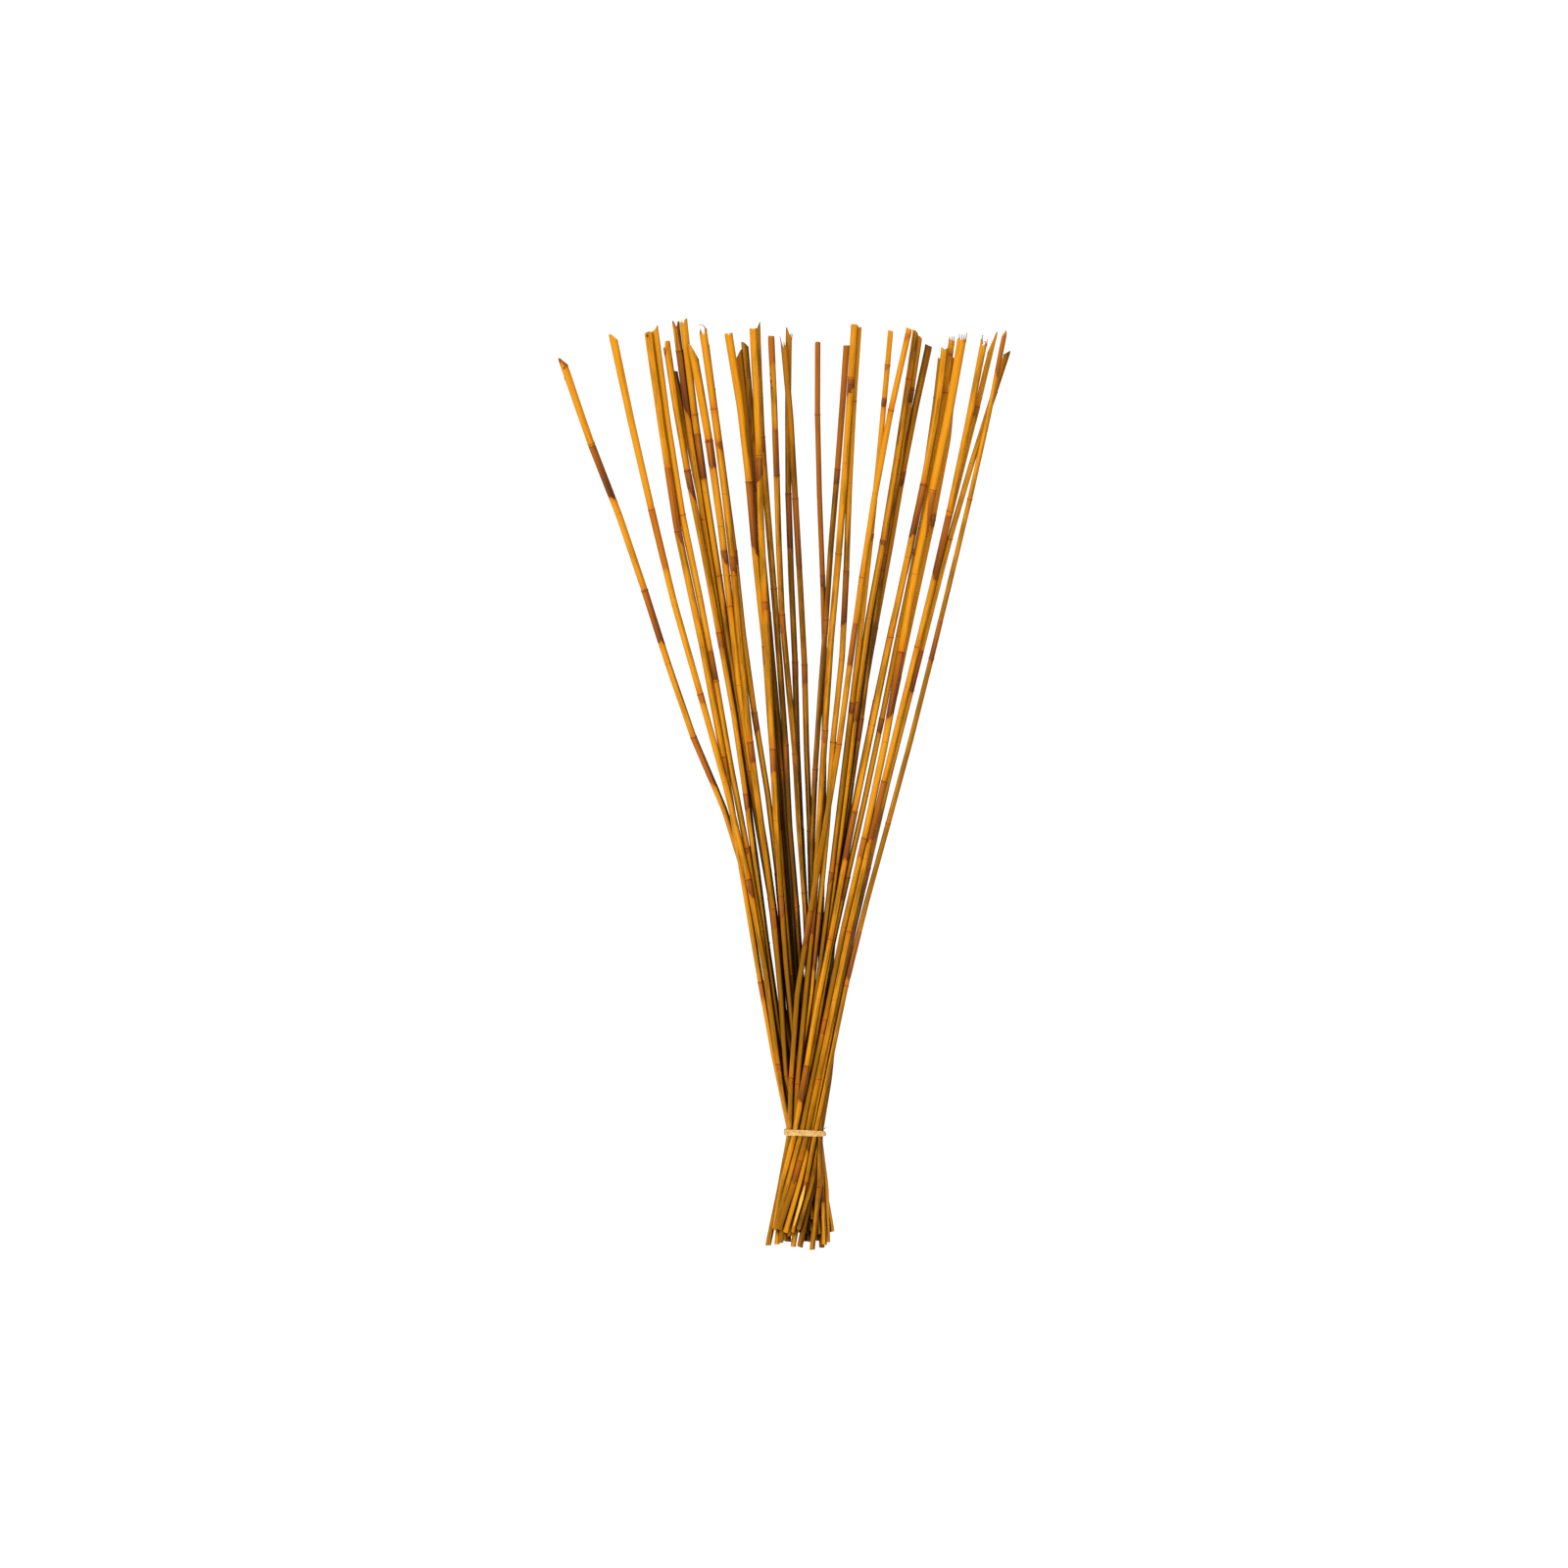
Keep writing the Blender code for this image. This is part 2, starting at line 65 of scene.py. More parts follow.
# ---- The gold reeds
# Dried common reed, dyed a bright golden orange. Each is a hollow stem that tapers from its root
# end to its thin end. Growth rings stand out on it, and where a leaf sheath once sat below a
# ring the skin is stained brown. Both ends are roughly cut, so the hollow stem shows.
FLATS = 7                # corners of a section of the solid reed
RING_EDGE = 0.0025       # from a ring's crest to the section above it on the solid reed
MM = 0.001
SIDES = 20               # sides of the round stem
PITCH = 9 * MM           # spacing of the sections on a plain run
CLOSEST = 0.15 * MM      # a section nearer than this to the last one is left out
RING_SHAPE = (-2.6, -1.4, -0.8, -0.4, 0.0, 0.4, 0.8, 1.4, 2.4, 5.0)   # sections round a ring, in mm
TIP_SHAPE = (0.0, 0.8, 1.6, 2.6, 4.0, 6.0, 8.5, 12.0, 16.0, 22.0)      # and from a cut end, in mm
CREST = 0.42             # height of a ring's crest, in mm
GROOVE = 0.22            # depth of the groove below it
COLLAR = 0.14            # height of the swelling below the groove
STAIN_RISE = 0.12        # how far the skin stands out where a sheath's foot is left, in mm
FULLER = 1.11            # the round stem is this much thicker than the solid's corners
OVAL = 0.035             # how far a stem is out of round, as a share of its thickness
SKIN_FROM = 0.87         # corners past this share of the stem's thickness are on its skin
WALL = 0.26              # wall of the stem, as a share of its radius
THIN_RECESS = 3 * MM     # depth of the hollow at the thin end
THIN_SLANT = 0.6 * MM    # how far the cut at the thin end slants
THIN_REACH = 8 * MM      # length of stem that the slant takes up
END_REACH = 12 * MM      # an open edge this near to the end's middle belongs to it
SMOOTH_UNDER = 50        # faces that meet at less than this many degrees look smooth
FAR = 10.0               # distances along a stem are told up to here, in mm
OPEN_COVER = 0.22        # skin that other reeds cover less than this gets no painted shade
DARKENING = 3            # how fast more cover darkens it with painted shade
SHUT_IN = ((-0.47, 0.8), (-0.17, 0.75), (0.05, 0.5))   # how much the cover counts for the painted shade, along y
PAINTED_LIGHT_SIDE = 140        # the side of a stem given painted light, in degrees from the right over the top
PAINTED_SHADE_SIDE = ((-100, 1.0), (200, 0.5))   # how much painted shade darkens its right side: (mm along the bunch, change)
TONE_LIMIT = 1.2         # tones are kept between minus this and this

# The stems are brightest at the fan and dullest above the tie: (mm along the bunch, change).
TONE_ALONG = ((-476, -0.15), (-360, -0.05), (-270, -0.1), (-170, -0.5), (-70, -0.15), (30, 0.1), (430, 0.6))

# Each reed: how bright its skin is, as one number or as (mm along the bunch, brightness) where it
# changes, which is its dye and in places painted shade where it runs under other reeds; the outline
# of its root cut, as (place from left -1 to right 1, mm below the highest point); and its stains, as
# (mm along the bunch at the top, at the lower edge on the left and on the right, how dark it is).
GOLD = {
    "01": (((436, 0.5), (0, 0)), ((-1, 0), (-0.4, 1), (1, 8)),
           ((436, 431, 429, 0.5), (346, 297, 286, 0.95), (199, 146, 142, 0.7), (48, 5, -8, 0.45),
            (-102, -118, -112, 0.3))),
    "02": (((459, 1), (100, 0.25), (-270, -0.75)), ((-1, 0), (-0.3, 0.6), (1, 7)),
           ((279, 224, 215, 0.12), (92, 86, 82, 0.3), (-97, -110, -117, 0.75), (-285, -292, -296, 0.4))),
    "03": (((480, -0.25), (130, -0.5), (-270, 1.25)), ((-1, 2), (-0.5, 0.5), (0.3, 0), (1, 2)),
           ((323, 262, 238, 0.5), (28, 8, 10, 0.3), (-202, -222, -216, 0.35))),
    "04": (((450, 1.25), (130, 0)), ((-1, 7), (0.2, 4), (0.6, 2), (1, 0)),
           ((136, 108, 104, 0.8), (-65, -74, -70, 0.4))),
    "05": (((440, 0), (230, -1.25), (30, 0.25)), ((-1, 7), (-0.45, 6), (-0.3, 0.4), (0.6, 0), (1, 1)),
           ((445, 438, 452, 0.75), (321, 302, 286, 0.95), (155, 140, 136, 0.5), (-10, -26, -24, 0.5))),
    "09": (((450, -0.75), (330, 0.25)), ((-1, 0), (-0.3, 2), (0.3, 8), (1, 17)),
           ((352, 325, 321, 0.7), (239, 232, 222, 0.95), (14, -6, -12, 0.5), (-154, -172, -170, 0.4))),
    "10": (((450, 0), (120, -1)), ((-1, 3), (-0.5, 2), (-0.15, 7), (0.15, 7), (0.5, 0.6), (1, 0)),
           ((349, 347, 336, 0.5), (232, 222, 211, 0.85), (43, 24, 20, 0.6), (-127, -150, -144, 0.5))),
    "12": (((450, 0.25), (230, -0.25), (-438, 1)), ((-1, 1), (-0.4, 0), (0, 2.4), (0.4, 0.3), (1, 0.4)),
           ((309, 243, 232, 0.8), (141, 120, 124, 0.4), (-27, -52, -46, 0.5), (-195, -215, -210, 0.5))),
    "15": (((450, -0.5), (0, -0.25), (-170, -1.25)), ((-1, 0), (0.2, 0.4), (1, 0)),
           ((333, 308, 314, 0.85), (186, 178, 176, 0.35), (36, 10, 14, 0.5), (-114, -140, -132, 0.5))),
    # its dark place low down, at -170 mm, is painted shade where it runs under other reeds
    "22": (((450, -0.75), (-80, -0.25), (-170, -1.75)), ((-1, 0.8), (-0.6, 0), (0.6, 0.2), (1, 1.5)),
           ((413, 396, 403, 0.9), (55, 44, 42, 0.5), (-125, -150, -158, 0.6))),
    "24": (((330, 0.5), (130, 1.25), (40, -1.5)), ((-1, 0), (0.4, 0.2), (1, 1)),
           ((427, 423, 424, 0.4), (394, 384, 388, 0.95), (255, 251, 249, 0.3), (83, 74, 70, 0.9),
            (-90, -104, -99, 0.5))),
    "25": (((450, 0.25), (130, -0.25), (-270, -1)), ((-1, 0), (0, 1), (0.5, 1), (1, 2)),
           ((459, 452, 454, 0.1), (164, 122, 118, 0.55), (-129, -168, -164, 0.7), (-299, -310, -306, 0.4))),
    "30": (((450, -0.25), (0, -0.5), (-438, 0.25)), ((-1, 0), (-0.4, 1), (0, 2.2), (0.5, 1), (1, 0.4)),
           ((306, 250, 254, 0.75), (-28, -76, -80, 0.7), (-287, -322, -328, 0.7))),
    # its dark place low down, at -170 mm, is painted shade where it runs under other reeds
    "32": (((450, 0.25), (-70, 1), (-170, -1.25)),
           ((-1, 3), (-0.75, 0.5), (-0.45, 4), (-0.1, 1.5), (0.1, 4.5), (0.45, 1), (0.7, 5), (0.9, 0),
            (1, 3)),
           ((298, 297, 250, 0.3), (135, 66, 72, 0.75), (-55, -78, -74, 0.4), (-240, -252, -256, 0.5))),
    "34": (((450, -0.75), (-170, 0.75), (-400, -1.25)),
           ((-1, 0), (-0.6, 3), (-0.2, 7), (0.4, 6), (0.8, 4), (1, 5)),
           ((273, 214, 206, 0.8), (3, -62, -56, 0.6), (-383, -408, -404, 0.7))),
    "36": (((450, -0.5), (200, -1), (-400, -0.5)), ((-1, 7), (-0.4, 4), (0.2, 1), (0.6, 0), (1, 3)),
           ((458, 418, 414, 0.4), (166, 128, 124, 0.7), (-150, -196, -199, 0.5), (-405, -428, -437, 0.6))),
}


def sections_of(number):
    """Middles and radii of the solid reed's sections, from the root end down."""
    corners = np.array([vert.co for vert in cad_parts["reed_" + number].data.vertices])
    corners = np.unique(corners.round(6), axis=0)
    corners = corners[np.argsort(-corners[:, 1], kind="stable")].reshape(-1, FLATS, 3)
    middles = corners.mean(axis=1)
    radii = np.sqrt(2 * ((corners[:, :, 2] - middles[:, None, 2]) ** 2).mean(axis=1))
    middles[0, 1] = corners[0, :, 1].max()
    return middles, radii


bundle = {name[-2:]: sections_of(name[-2:]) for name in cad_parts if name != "raffia_tie"}


def reed_at(reed, y):
    """Place across, height and radius of a solid reed at y along the bunch."""
    middles, radii = reed
    return [np.interp(y, middles[::-1, 1], line[::-1]) for line in (middles[:, 0], middles[:, 2], radii)]


def painted_shade_in_bunch(number, corners, outward):
    """Painted shade: how far other reeds shut in each corner on the side it faces, from 0 in the open to 1.
    """
    y = corners[:, 1]
    cover = np.zeros(len(corners))
    for other, reed in bundle.items():
        if other != number:
            x, z, radius = reed_at(reed, y)
            away = np.column_stack((x - corners[:, 0], z - corners[:, 2]))
            far = np.maximum(np.linalg.norm(away, axis=1), radius)
            facing = np.maximum((away * outward[:, (0, 2)]).sum(axis=1) / far, 0)
            root, thin_end = reed[0][0, 1], reed[0][-1, 1]
            cover += radius / far * facing ** 2 * ((y > thin_end) & (y < root))
    cover *= np.interp(y, *zip(*SHUT_IN))
    return 1 - np.exp(-DARKENING * np.maximum(cover - OPEN_COVER, 0))


def stem_line(number, stains):
    """Finely spaced middles of the stem, its plain radius there, and the places of its rings."""
    middles, radii = bundle[number]
    ys = middles[:, 1]
    on_ring = np.append(False, np.abs(ys[:-1] - ys[1:] - RING_EDGE) < 0.1 * MM)
    places = list(ys[0] - np.array(TIP_SHAPE) * MM)
    places += list(np.arange(ys[0] - 30 * MM, ys[-1], -PITCH)) + [ys[-1], ys[-1] + 1.5 * MM]
    for ring in ys[on_ring]:
        places += list(ring - np.array(RING_SHAPE) * MM)
    for top, left, right, _ in stains:
        places += [(top + step) * MM for step in (-0.5, 0.5)]
        places += list(np.arange(min(left, right) - 2, max(left, right) + 2.1, 1.3) * MM)
    places = np.array(sorted((y for y in places if ys[-1] <= y <= ys[0]), reverse=True))
    places = places[np.append(True, np.diff(places) < -CLOSEST)]
    nearby = np.arange(-6, 7) * MM      # a bend is eased over this run
    xs = np.mean([np.interp(places + step, ys[::-1], middles[::-1, 0]) for step in nearby], axis=0)
    zs = np.mean([np.interp(places + step, ys[::-1], middles[::-1, 2]) for step in nearby], axis=0)
    plain = ~on_ring
    thick = np.interp(places, ys[plain][::-1], radii[plain][::-1])
    return np.column_stack((xs, places, zs)), thick, ys[on_ring]


def ring_swelling(along):
    """Height of the skin round a ring, in mm, where along is how far past the crest, in mm."""
    crest = CREST * np.exp(-(along / 0.75) ** 2)
    groove = GROOVE * np.exp(-((along - 1.1) / 0.35) ** 2)
    collar = np.where(along > 0, COLLAR * np.exp(-along / 7), 0)
    return crest - groove + collar


def draw_tube(name, points, thick, sides=8):
    """A line through the points, as thick as told at each of them, made a mesh."""
    line = bpy.data.curves.new(name, "CURVE")
    line.dimensions = "3D"
    line.bevel_depth = MM
    line.bevel_resolution = sides // 2 - 2
    spline = line.splines.new("POLY")
    spline.points.add(len(points) - 1)
    for point, place, radius in zip(spline.points, points, thick):
        point.co = (*place, 1)
        point.radius = radius / MM
    tube = bpy.data.objects.new(name, line)
    bpy.context.scene.collection.objects.link(tube)
    bpy.ops.object.select_all(action="DESELECT")
    tube.select_set(True)
    bpy.context.view_layer.objects.active = tube
    bpy.ops.object.convert(target="MESH")
    return bpy.context.view_layer.objects.active


def open_end(tube, near, wall, inward):
    """Turn a tube's open edge in by the wall, push it down inside and close it there."""
    bpy.context.view_layer.objects.active = tube
    bpy.ops.object.mode_set(mode="EDIT")
    bpy.ops.mesh.select_mode(type="EDGE")
    bpy.ops.mesh.select_all(action="DESELECT")
    shape = bmesh.from_edit_mesh(tube.data)
    rim = [edge for edge in shape.edges if edge.is_boundary]
    for edge in rim:
        edge.select = (edge.verts[0].co - near).length < END_REACH
    bmesh.update_edit_mesh(tube.data)
    bpy.ops.mesh.extrude_region_move()
    bpy.ops.transform.resize(value=(wall, wall, wall), center_override=near)
    bpy.ops.mesh.extrude_region_move(TRANSFORM_OT_translate={"value": inward})
    bpy.ops.mesh.edge_face_add()
    bpy.ops.object.mode_set(mode="OBJECT")


def number_layer(mesh, name, kind, values):
    """Keep a number or a vector for each corner under the name, for the materials."""
    layer = mesh.attributes.new(name, kind, "POINT")
    key = "vector" if kind == "FLOAT_VECTOR" else "value"
    layer.data.foreach_set(key, np.asarray(values, np.float32).ravel())


def sheath_stains(stains, at, across, bent, chance):
    """How far inside a stain each corner is, in mm, and how old the skin there is."""
    inside = np.full(len(at), -FAR)
    age = np.zeros(len(at))
    for top, left, right, dark in stains:
        teeth = 1.6 * np.sin(2 * bent + chance.uniform(0, 6))
        teeth += np.sin(5 * bent + chance.uniform(0, 6))
        lower = left + (right - left) * (1 + across) / 2 + teeth
        within = np.minimum(top - at, at - lower)
        share = np.clip((top - at) / np.maximum(top - lower, 1), 0, 1)
        years = dark * (0.3 + 0.7 * share ** 1.3) + 0.16 * across
        years += 0.35 * dark * np.exp(-(top - at) / 2.5)
        age = np.where(within > inside, years, age)
        inside = np.maximum(inside, within)
    return inside, age


def dye_and_painted_light_tone(brightness, at, across, bent, length, chance):
    """How bright each corner is, around 0.5: how well it took the dye, with painted light on the upper left
    and painted shade on the right.
    """
    wander = 0.25 * np.sin(length * chance.uniform(6, 14) + chance.uniform(0, 6))
    # painted light on the upper left of the stem, and painted shade on its right
    side = 0.5 * np.cos(bent - math.radians(PAINTED_LIGHT_SIDE + chance.uniform(-25, 25)))
    side -= np.interp(at, *zip(*PAINTED_SHADE_SIDE)) * np.clip((across - 0.45) / 0.5, 0, 1)
    tones = brightness if isinstance(brightness, tuple) else ((0, brightness),)
    tone = np.interp(at, *zip(*sorted(tones))) + np.interp(at, *zip(*TONE_ALONG)) + wander + side
    return 0.5 + 0.5 * np.clip(tone, -TONE_LIMIT, TONE_LIMIT)


def grow_reed(number, brightness, cut, stains, skin):
    """One reed: tube, cut ends, rings and stains, in place of its solid."""
    points, thick, rings = stem_line(number, stains)
    chance = random.Random(number)
    past_rings = (rings[None, :] - points[:, 1, None]) / MM
    swelling = ring_swelling(past_rings).sum(axis=1)
    stem = draw_tube("stem_" + number, points, thick * FULLER + swelling * MM, sides=SIDES)
    mesh = stem.data
    outside = len(mesh.polygons)
    cut_reach = (1.6 * max(drop for _, drop in cut) + 5) * MM
    down = Vector(points[8] - points[0]).normalized()
    up = Vector(points[-6] - points[-1]).normalized()
    open_end(stem, Vector(points[0]), 1 - WALL, down * (cut_reach + 6 * MM))
    open_end(stem, Vector(points[-1]), 1 - 1.4 * WALL, up * THIN_RECESS)

    # where each corner is: along the stem, out from its middle and round it
    corners = np.array([vert.co for vert in mesh.vertices])
    steps = np.diff(points, axis=0)
    run = np.append(0, np.cumsum(np.linalg.norm(steps, axis=1)))
    nearest = np.clip(np.searchsorted(-points[:, 1], -corners[:, 1]), 0, len(points) - 2)
    heading = (steps / np.linalg.norm(steps, axis=1)[:, None])[nearest]
    from_middle = corners - points[nearest]
    ahead = (from_middle * heading).sum(axis=1)
    length = run[nearest] + ahead
    at = (points[nearest, 1] + ahead * heading[:, 1]) / MM
    out = from_middle - ahead[:, None] * heading
    height = np.linalg.norm(out, axis=1)
    outward = out / np.maximum(height, 1e-7)[:, None]
    across = outward[:, 0]
    bent = np.arctan2(outward[:, 2], across)

    inside, age = sheath_stains(stains, at, across, bent, chance)
    gaps = rings[None, :] / MM - at[:, None]
    closest = gaps[np.arange(len(corners)), np.abs(gaps).argmin(axis=1)]
    warm = np.maximum(np.exp(-np.abs(closest) / 12), np.exp(np.minimum(inside, 0) / 6))

    # out of round, raised at the stains, and cut ragged at the root and aslant at the thin end
    oval = OVAL * np.sin(2 * bent + chance.uniform(0, 6) + length * chance.uniform(-9, 9))
    rise = STAIN_RISE * MM * np.clip(inside / 1.2, 0, 1)
    on_skin = height > SKIN_FROM * FULLER * np.interp(length, run, thick)
    corners += outward * np.where(on_skin, height * oval + rise, 0)[:, None]
    outline = np.interp(across, *zip(*cut)) + 0.35 * np.sin(9 * bent + chance.uniform(0, 6)) + 0.35
    fall = outline * MM * np.clip(1 - length / cut_reach, 0, 1)
    corners += np.array(down) * fall[:, None]
    slant = THIN_SLANT * (1 + chance.uniform(-1.2, 1.2) * across)
    lift = slant * np.clip(1 - (run[-1] - length) / THIN_REACH, 0, 1)
    corners += np.array(up) * np.maximum(lift, 0)[:, None]
    mesh.vertices.foreach_set("co", corners.astype(np.float32).ravel())

    shift = np.array([chance.uniform(0, 9) for _ in range(3)])
    turn = np.column_stack((np.cos(bent) * height, length, np.sin(bent) * height))
    number_layer(mesh, "grain", "FLOAT_VECTOR", turn + shift)
    number_layer(mesh, "ring", "FLOAT", np.clip(closest, -FAR, FAR))
    number_layer(mesh, "stain", "FLOAT", np.clip(inside, -FAR, FAR))
    number_layer(mesh, "age", "FLOAT", age)
    number_layer(mesh, "warm", "FLOAT", warm)
    # the dye's tone, with painted light and shade on the stem's sides
    number_layer(mesh, "bright", "FLOAT", dye_and_painted_light_tone(brightness, at, across, bent, length, chance))
    # painted shade, darker where other reeds shut the skin in
    number_layer(mesh, "deep", "FLOAT", painted_shade_in_bunch(number, corners, outward))

    # the skin, and at each end a ring of cut wall round the hollow and its floor, painted near black as
    # shade
    for material in (skin, cut_wall, hollow):
        mesh.materials.append(material)
    index = np.zeros(len(mesh.polygons), np.int32)
    index[outside:] = 2
    for first in (outside, outside + 2 * SIDES + 1):
        index[first:first + SIDES] = 1
    mesh.polygons.foreach_set("material_index", index)
    bpy.ops.object.mode_set(mode="EDIT")
    bpy.ops.mesh.select_all(action="SELECT")
    bpy.ops.mesh.normals_make_consistent(inside=False)
    bpy.ops.object.mode_set(mode="OBJECT")
    bpy.ops.object.shade_smooth_by_angle(angle=math.radians(SMOOTH_UNDER))
    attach(stem, "root")
    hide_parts("reed_" + number)
    return stem


def join_to(stem, pieces):
    """Close the ends of thin tubes and make them part of the stem."""
    for piece in pieces:
        bpy.ops.object.select_all(action="DESELECT")
        piece.select_set(True)
        bpy.context.view_layer.objects.active = piece
        bpy.ops.object.mode_set(mode="EDIT")
        bpy.ops.mesh.select_mode(type="EDGE")
        bpy.ops.mesh.select_all(action="DESELECT")
        bpy.ops.mesh.select_non_manifold()
        bpy.ops.mesh.edge_face_add()
        bpy.ops.mesh.select_all(action="SELECT")
        bpy.ops.mesh.normals_make_consistent(inside=False)
        bpy.ops.object.mode_set(mode="OBJECT")
        bpy.ops.object.shade_smooth()
    bpy.ops.object.select_all(action="DESELECT")
    for piece in pieces:
        piece.select_set(True)
    stem.select_set(True)
    bpy.context.view_layer.objects.active = stem
    bpy.ops.object.join()


def fray(stem, cut, strands):
    """Loose fibres on the root cut: (across -1 to 1, rise, lean and curl to the right, in mm)."""
    middles, radii = bundle[stem.name[-2:]]
    pieces = []
    for across, rise, lean, curl in strands:
        t = np.linspace(0, 1, 12)
        xs = middles[0, 0] + (0.85 * across * radii[0] + (lean * t + curl * t ** 2.5) * MM)
        rim = middles[0, 1] - np.interp(across, *zip(*cut)) * MM
        ys = rim + (rise * np.sin(math.pi / 2 * t * (1.5 if curl else 1)) - 4 * (1 - t) ** 2) * MM
        zs = middles[0, 2] + radii[0] * (0.85 * math.sqrt(1 - 0.7 * across ** 2) + 0.3 * t)
        pieces.append(draw_tube("fibre", np.column_stack((xs, ys, zs)), (0.75 - 0.5 * t) * MM, sides=6))
        pieces[-1].data.materials.append(frayed)
    join_to(stem, pieces)


def node(tree, kind, **values):
    """A shader node with the given settings and values of its inputs."""
    made = tree.nodes.new("ShaderNode" + kind)
    for name, value in values.items():
        if hasattr(made, name):
            setattr(made, name, value)
        else:
            made.inputs[name].default_value = value
    return made


def layer(tree, name, output="Fac"):
    """What number_layer kept under the name."""
    return node(tree, "Attribute", attribute_name=name).outputs[output]


def noise_over(tree, vector, scale, detail):
    """Noise stretched along the stem. scale is how fine it is across, along and through."""
    placed = node(tree, "Mapping", Scale=scale)
    tree.links.new(vector, placed.inputs["Vector"])
    made = node(tree, "TexNoise", Scale=1.0, Detail=detail, Roughness=0.6)
    tree.links.new(placed.outputs["Vector"], made.inputs["Vector"])
    return made.outputs["Fac"]


def between(tree, value, low, high, to_low=0.0, to_high=1.0):
    """The value's place from low to high, eased, as a number from to_low to to_high."""
    made = node(tree, "MapRange", interpolation_type="SMOOTHSTEP")
    for name, number in (("From Min", low), ("From Max", high), ("To Min", to_low), ("To Max", to_high)):
        made.inputs[name].default_value = number
    tree.links.new(value, made.inputs["Value"])
    return made.outputs["Result"]


def combined(tree, kind, one, other=0.0):
    """The two values added, subtracted or multiplied, as the kind says, or the first's size."""
    made = node(tree, "Math", operation=kind)
    for socket, value in zip(made.inputs, (one, other)):
        if isinstance(value, (int, float)):
            socket.default_value = value
        else:
            tree.links.new(value, socket)
    return made.outputs["Value"]


def blended(tree, share, one, other, kind="MIX"):
    """One colour going over to the other by the share."""
    made = node(tree, "Mix", data_type="RGBA", blend_type=kind)
    for name, value in (("Factor", share), ("A", one), ("B", other)):
        socket = next(s for s in made.inputs if s.name == name and s.enabled)
        if isinstance(value, tuple):
            socket.default_value = (*value, 1)
        elif isinstance(value, (int, float)):
            socket.default_value = value
        else:
            tree.links.new(value, socket)
    return next(s for s in made.outputs if s.enabled)


FIBRE_SHADE = (0.30, 0.16, 0.03)
SPECK = (0.09, 0.025, 0.006)
YOUNG_SHEATH = (0.31, 0.088, 0.009)
OLD_SHEATH = (0.165, 0.042, 0.008)
BLACK_SHEATH = (0.050, 0.013, 0.007)
SHEATH_FIBRE = (0.30, 0.10, 0.008)
STREAK = (0.24, 0.065, 0.005)
CRACK = (0.10, 0.03, 0.008)
CRACK_AT = 0.75          # how far below a ring's crest it is cracked, in mm
MARK = (0.035, 0.013, 0.006)
MARK_STRETCH = 0.7       # a mark's width as a share of its length
# colour of the painted shade deep among the other reeds
PAINTED_DEEP_SHADE = (0.03, 0.013, 0.005)
SHINE = 0.08
SHINE_COLOUR = (1.0, 0.58, 0.16)


